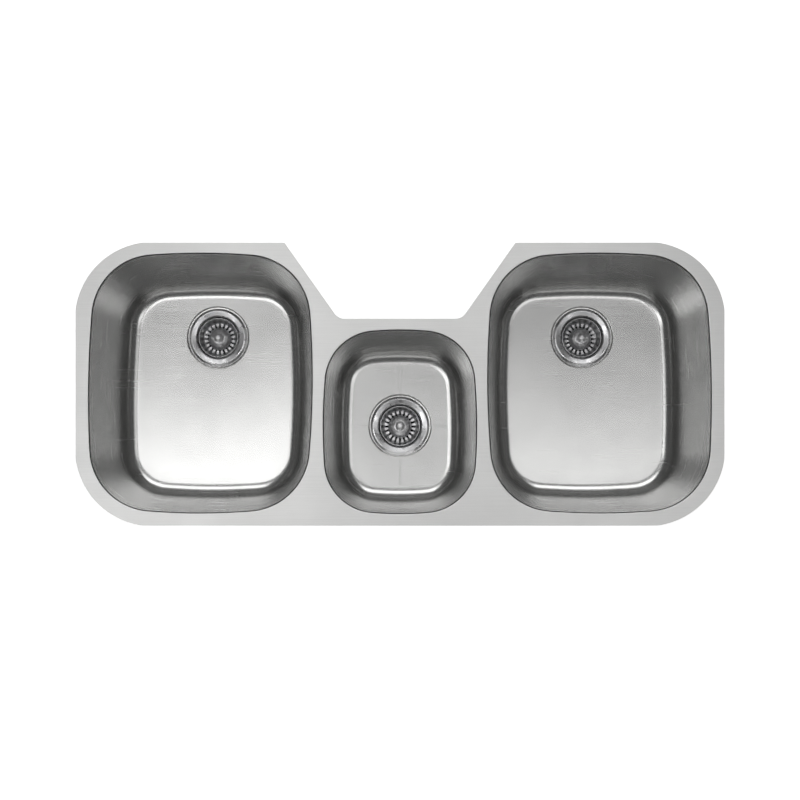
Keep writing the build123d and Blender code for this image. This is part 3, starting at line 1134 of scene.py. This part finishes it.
@dataclass
class Weld:
    """Rippled bead, outside, where each bowl is welded to its collar."""

    mouths: list[Mouth]
    bead_radius: float = 0.9 * MM
    ripple: float = 1.6 * MM
    ripple_depth: float = 0.3
    steps: int = 4
    sides: int = 6
    pressing: Pressing = field(default_factory=Pressing)

    def tree(self) -> bpy.types.GeometryNodeTree:
        """Geometry tree that runs a rippled bead along each closed line of a mesh."""
        sizes = {
            "Bead radius": "Float",
            "Ripple": "Float",
            "Ripple depth": "Float",
            "Steps": "Int",
            "Sides": "Int",
            "Material": "Material",
        }
        tree, source = new_tree("weld bead", sizes)
        given = source.outputs
        seam = add_node(tree, "GeometryNodeMeshToCurve", Mesh=given["Geometry"])
        step = add_node(
            tree, "ShaderNodeMath", {"operation": "DIVIDE"}, i0=given["Ripple"], i1=given["Steps"]
        )
        fine = add_node(
            tree,
            "GeometryNodeResampleCurve",
            {"mode": "LENGTH"},
            Curve=seam.outputs[0],
            Length=step.outputs[0],
        )
        index = add_node(tree, "GeometryNodeInputIndex")
        phase = add_node(
            tree, "ShaderNodeMath", {"operation": "DIVIDE"}, i0=index.outputs[0], i1=given["Steps"]
        )
        saw = add_node(tree, "ShaderNodeMath", {"operation": "FRACT"}, i0=phase.outputs[0])
        dip = add_node(
            tree, "ShaderNodeMath", {"operation": "MULTIPLY"}, i0=saw.outputs[0], i1=given["Ripple depth"]
        )
        size = add_node(tree, "ShaderNodeMath", {"operation": "SUBTRACT"}, i0=1.0, i1=dip.outputs[0])
        rippled = add_node(
            tree, "GeometryNodeSetCurveRadius", Curve=fine.outputs[0], Radius=size.outputs[0]
        )
        circle = add_node(
            tree,
            "GeometryNodeCurvePrimitiveCircle",
            {"mode": "RADIUS"},
            Resolution=given["Sides"],
            Radius=given["Bead radius"],
        )
        bead = add_node(tree, "GeometryNodeCurveToMesh", i0=rippled.outputs[0], i1=circle.outputs[0])
        smooth = add_node(tree, "GeometryNodeSetShadeSmooth", Geometry=bead.outputs[0])
        end_tree(tree, smooth.outputs[0], given["Material"])
        return tree

    def build(self, material: bpy.types.Material) -> bpy.types.Object:
        """Lay the beads, half sunk in the sheet, on the sink's body."""
        press = self.pressing
        outwards = press.sheet / math.cos(press.draft) - press.collar_height * math.tan(press.draft)
        points: list[Vector] = []
        lines: list[tuple[int, int]] = []
        for mouth in self.mouths:
            ring = mouth.ring(outwards, -press.collar_height)
            first = len(points)
            lines += [(first + number, first + (number + 1) % len(ring)) for number in range(len(ring))]
            points += ring
        seams = bpy.data.meshes.new("seams")
        seams.from_pydata(points, lines, [])
        sizes = {
            "Bead radius": self.bead_radius,
            "Ripple": self.ripple,
            "Ripple depth": self.ripple_depth,
            "Steps": self.steps,
            "Sides": self.sides,
            "Material": material,
        }
        piece = add_piece("collar_welds", grow(seams, self.tree(), sizes))
        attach(piece, SINK)
        log.info("%s: %d faces", piece.name, len(piece.data.polygons))
        return piece


@dataclass
class Thread:
    """Screw thread cut on a cylinder of each strainer body."""

    name: str
    starts: list[tuple[float, float, float]]
    radius: float
    length: float
    pitch: float
    crest: float
    steps: int = 72

    def tree(self) -> bpy.types.GeometryNodeTree:
        """Geometry tree that winds a ridge up from each point that it is given."""
        sizes = {
            "Radius": "Float",
            "Pitch": "Float",
            "Turns": "Float",
            "Crest": "Float",
            "Steps": "Int",
            "Material": "Material",
        }
        tree, source = new_tree("screw thread", sizes)
        given = source.outputs
        rise = add_node(
            tree, "ShaderNodeMath", {"operation": "MULTIPLY"}, i0=given["Pitch"], i1=given["Turns"]
        )
        helix = add_node(
            tree,
            "GeometryNodeCurveSpiral",
            Resolution=given["Steps"],
            Rotations=given["Turns"],
            Start_Radius=given["Radius"],
            End_Radius=given["Radius"],
            Height=rise.outputs[0],
        )
        upright = add_node(tree, "GeometryNodeSetCurveNormal", {"mode": "Z_UP"}, Curve=helix.outputs[0])
        ridge = add_node(
            tree,
            "GeometryNodeCurvePrimitiveCircle",
            {"mode": "RADIUS"},
            Resolution=4,
            Radius=given["Crest"],
        )
        wound = add_node(
            tree, "GeometryNodeCurveToMesh", i0=upright.outputs[0], i1=ridge.outputs[0], Fill_Caps=True
        )
        placed = add_node(
            tree, "GeometryNodeInstanceOnPoints", Points=given["Geometry"], Instance=wound.outputs[0]
        )
        end_tree(tree, placed.outputs[0], given["Material"])
        return tree

    def build(self, material: bpy.types.Material) -> bpy.types.Object:
        """Cut the thread on every strainer, on the sink's body."""
        points = bpy.data.meshes.new("thread starts")
        points.from_pydata(self.starts, [], [])
        sizes = {
            "Radius": self.radius,
            "Pitch": self.pitch,
            "Turns": self.length / self.pitch,
            "Crest": self.crest,
            "Steps": self.steps,
            "Material": material,
        }
        piece = add_piece(self.name, grow(points, self.tree(), sizes))
        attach(piece, SINK)
        log.info("%s: %d faces", piece.name, len(piece.data.polygons))
        return piece


@dataclass
class Strainer:
    """One drain's strainer and the hardware under it, which keep the frame's shapes."""

    side: Side
    centre: tuple[float, float]

    def dress(self) -> None:
        """Give each of the strainer's nodes its material."""
        name, centre = self.side.value, self.centre
        turned = TurnedStainless(f"{name} buffed stainless", "#d4d4d5", 0.3, centre=centre).material()
        satin = TurnedStainless(f"{name} satin stainless", "#e0e0e1", 0.42, centre=centre).material()
        pressed = TurnedStainless(
            f"{name} pressed stainless", "#c8c8c9", 0.34, ring_mm=15.7, centre=centre
        ).material()
        rubber = Grained(f"{name} moulded rubber", "#1b1b1c", 0.6).material()
        zinc = Grained(f"{name} die-cast zinc", "#8d8f92", 0.45, metallic=1.0, grain_mm=2.0).material()
        finishes = {
            "strainer_body": turned,
            "crossbar": turned,
            "post": satin,
            "basket": pressed,
            "stem_clip": pressed,
            "stopper": rubber,
            "under_washer": rubber,
            "locknut": zinc,
            "coupling_nut": zinc,
            "seal_ring": Grained(f"{name} putty", "#a59c86", 0.8).material(),
            "friction_ring": Grained(f"{name} pressed card", "#8a6f4b", 0.9, grain_mm=0.6).material(),
            "tail_washer": Grained(f"{name} polyethylene", "#dcdcd6", 0.45).material(),
        }
        for part, material in finishes.items():
            dress(f"{name}_{part}", material)
        log.info("%s strainer: %d nodes", name, len(finishes))


class Lamp(NamedTuple):
    """A soft rectangular lamp, aimed at the object, with the brightness of its face."""

    name: str
    place: tuple[float, float, float]
    width: float
    length: float
    brightness: float


@dataclass
class Studio:
    """Pale floor, white surroundings, soft light from above and the camera."""

    floor_height: float
    floor_size: float = 14.0
    camera_place: tuple[float, float, float] = (0.0, -0.1905, 2.887)
    lens_mm: float = 72.2
    sensor_mm: float = 36.0
    shift_up: float = 0.1125
    floor_glow: float = 0.75
    horizon_height: float = 0.15
    overhead_height: float = 0.45
    horizon_light: float = 1.1
    overhead_light: float = 0.1
    lamps: tuple[Lamp, ...] = (
        Lamp("left softbox", (-0.95, -0.27, 3.2), 0.62, 1.7, 4.3),
        Lamp("right softbox", (0.94, -0.27, 3.2), 0.72, 1.7, 2.5),
        Lamp("rear softbox", (0.0, 2.4, 2.75), 2.8, 1.5, 2.8),
    )

    def build(self) -> None:
        """Build everything that isn't the object."""
        self.lay_floor()
        self.light()
        self.surround()
        self.look()
        log.info("studio: floor at %.3f m", self.floor_height)

    def lay_floor(self) -> None:
        """Lay a white floor that keeps the object's shadow."""
        material = bpy.data.materials.new("white paper")
        material.use_nodes = True
        tree = material.node_tree
        tree.nodes.clear()
        paper = add_node(tree, "ShaderNodeBsdfDiffuse", Color=hex_to_linear("#f2f2f2"))
        rays = add_node(tree, "ShaderNodeLightPath")
        seen = add_node(
            tree,
            "ShaderNodeMath",
            {"operation": "MAXIMUM"},
            i0=rays.outputs["Is Camera Ray"],
            i1=rays.outputs["Is Glossy Ray"],
        )
        seen = add_node(
            tree,
            "ShaderNodeMath",
            {"operation": "MAXIMUM"},
            i0=seen.outputs[0],
            i1=rays.outputs["Is Transmission Ray"],
        )
        lift = add_node(
            tree, "ShaderNodeMath", {"operation": "MULTIPLY"}, i0=seen.outputs[0], i1=self.floor_glow
        )
        glow = add_node(tree, "ShaderNodeEmission", Color=(1.0, 1.0, 1.0, 1.0), Strength=lift.outputs[0])
        both = add_node(tree, "ShaderNodeAddShader", i0=paper.outputs[0], i1=glow.outputs[0])
        output = add_node(tree, "ShaderNodeOutputMaterial")
        tree.links.new(both.outputs[0], output.inputs["Surface"])
        shape = bmesh.new()
        bmesh.ops.create_grid(shape, x_segments=8, y_segments=8, size=self.floor_size / 2)
        bmesh.ops.translate(shape, verts=shape.verts, vec=(0.0, 0.0, self.floor_height))
        sheet = bpy.data.meshes.new("studio_floor")
        shape.to_mesh(sheet)
        shape.free()
        sheet.materials.append(material)
        add_piece("studio_floor", sheet)

    def light(self) -> None:
        """Hang the lamps."""
        for lamp in self.lamps:
            panel = bpy.data.lights.new(lamp.name, "AREA")
            panel.shape = "RECTANGLE"
            panel.size, panel.size_y = lamp.width, lamp.length
            panel.energy = lamp.brightness * math.pi * lamp.width * lamp.length
            hung = bpy.data.objects.new(lamp.name, panel)
            hung.location = lamp.place
            hung.rotation_euler = Vector(lamp.place).to_track_quat("Z", "Y").to_euler()
            bpy.context.scene.collection.objects.link(hung)

    def surround(self) -> None:
        """Surround the object with a soft room: darker overhead, bright towards the horizon."""
        world = bpy.data.worlds.new("studio")
        bpy.context.scene.world = world
        world.use_nodes = True
        tree = world.node_tree
        tree.nodes.clear()
        place = add_node(tree, "ShaderNodeTexCoord")
        parts = add_node(tree, "ShaderNodeSeparateXYZ", Vector=place.outputs["Generated"])
        height = add_node(
            tree,
            "ShaderNodeMapRange",
            Value=parts.outputs["Z"],
            From_Min=self.horizon_height,
            From_Max=self.overhead_height,
            To_Min=self.horizon_light,
            To_Max=self.overhead_light,
        )
        rays = add_node(tree, "ShaderNodeLightPath")
        strength = add_node(
            tree,
            "ShaderNodeMix",
            {"data_type": "FLOAT"},
            i0=rays.outputs["Is Camera Ray"],
            i2=height.outputs[0],
            i3=1.0,
        )
        sky = add_node(
            tree, "ShaderNodeBackground", Color=(1.0, 1.0, 1.0, 1.0), Strength=strength.outputs[0]
        )
        output = add_node(tree, "ShaderNodeOutputWorld")
        tree.links.new(sky.outputs[0], output.inputs["Surface"])

    def look(self) -> None:
        """Set the camera straight above the sink."""
        lens = bpy.data.cameras.new("camera")
        lens.lens = self.lens_mm
        lens.sensor_width = self.sensor_mm
        lens.shift_y = self.shift_up
        camera = bpy.data.objects.new("camera", lens)
        camera.location = self.camera_place
        bpy.context.scene.collection.objects.link(camera)
        bpy.context.scene.camera = camera
        bpy.context.scene.view_settings.view_transform = "Standard"


def large_mouth(hand: int) -> Mouth:
    """Mouth of a large bowl, on the left for -1 and on the right for 1, from millimetres."""
    width, length = 401.2, 466.4
    return Mouth(
        hand=hand,
        centre=(hand * 359.4 * MM, 1.9 * MM),
        width=width * MM,
        length=length * MM,
        corner_radius=113 * MM,
        outer_bulge=4.74 * width * MM,
        inner_bulge=3.99 * width * MM,
        end_bulge=2.57 * length * MM,
        outer_peak=-27 * MM,
        inner_peak=8 * MM,
    )


def middle_mouth() -> Mouth:
    """Mouth of the middle bowl, from millimetres."""
    width, length = 274.7, 329.3
    return Mouth(
        hand=1,
        centre=(0.0, -67.9 * MM),
        width=width * MM,
        length=length * MM,
        corner_radius=92 * MM,
        outer_bulge=3.82 * width * MM,
        inner_bulge=3.82 * width * MM,
        end_bulge=1.82 * length * MM,
        outer_peak=-8 * MM,
        inner_peak=-8 * MM,
    )


def drain_centre(side: Side) -> tuple[float, float]:
    """Middle of a drain in plan, from the frame's strainer body."""
    low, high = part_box(f"{side.value}_strainer_body")
    return ((low.x + high.x) / 2, (low.y + high.y) / 2)


def build_threads(depths: dict[Side, float], material: bpy.types.Material) -> None:
    """Build the threads below the locknuts and above the coupling nuts.

    Args:
        depths: each bowl's depth.
        material: what the strainer bodies are made of.
    """
    recess_depth = Pressing().recess_depth
    below_recess, above_nut = 30 * MM, 0.6 * MM
    cup_starts = []
    outlet_starts = []
    for side in Side:
        x, y = drain_centre(side)
        cup_starts.append((x, y, -depths[side] - recess_depth - below_recess))
        outlet_starts.append((x, y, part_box(f"{side.value}_coupling_nut")[1].z + above_nut))
    cup = Thread(
        "cup_threads", cup_starts, radius=42.5 * MM, length=10.5 * MM, pitch=1.5 * MM, crest=0.6 * MM
    )
    outlet = Thread(
        "outlet_threads", outlet_starts, radius=23.7 * MM, length=3.4 * MM, pitch=1.6 * MM, crest=0.6 * MM
    )
    for thread in (cup, outlet):
        thread.build(material)


def main() -> None:
    """Build every piece and report it."""
    logging.basicConfig(level=logging.INFO, format="%(name)s: %(message)s")
    mouths = {Side.LEFT: large_mouth(-1), Side.MIDDLE: middle_mouth(), Side.RIGHT: large_mouth(1)}
    depths = {Side.LEFT: 229 * MM, Side.MIDDLE: 178 * MM, Side.RIGHT: 229 * MM}
    deck_steel = BrushedStainless("brushed stainless deck", "#d9d9d8", 0.42, anisotropy=0.5).material()
    bowl_steel = BrushedStainless("brushed stainless bowl", "#c8c8c7", 0.26, anisotropy=0.5).material()
    # Dark steel for the lips' faces: painted shade for the shadow line round each mouth.
    painted_shade_steel = Grained("painted shade on lips", "#4b4b4c", 0.5, metallic=1.0, grain_mm=0.8).material()
    weld_steel = Grained("fused stainless weld", "#a9a6a2", 0.35, metallic=1.0, grain_mm=0.8).material()
    thread_steel = Grained("rolled stainless thread", "#b9b9ba", 0.3, metallic=1.0, grain_mm=0.8).material()
    pad_rubber = Grained("bonded butyl pad", "#2a2a2d", 0.75, grain_mm=1.5).material()
    low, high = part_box("deck")
    press_tree = PressTree()
    DeckPiece(list(mouths.values()), high.x - low.x, high.y - low.y).build(
        press_tree, deck_steel, painted_shade_steel
    )
    for side in Side:
        drain = drain_centre(side)
        BowlPiece(side, mouths[side], drain, depths[side]).build(press_tree, bowl_steel)
        Strainer(side, drain).dress()
        dress(f"{side.value}_floor_pad", pad_rubber)
        if side is not Side.MIDDLE:
            dress(f"{side.value}_side_pad", pad_rubber)
    Weld(list(mouths.values())).build(weld_steel)
    build_threads(depths, thread_steel)
    Studio(floor_height=cad_box[0].z).build()


if __name__ == "__main__":
    main()
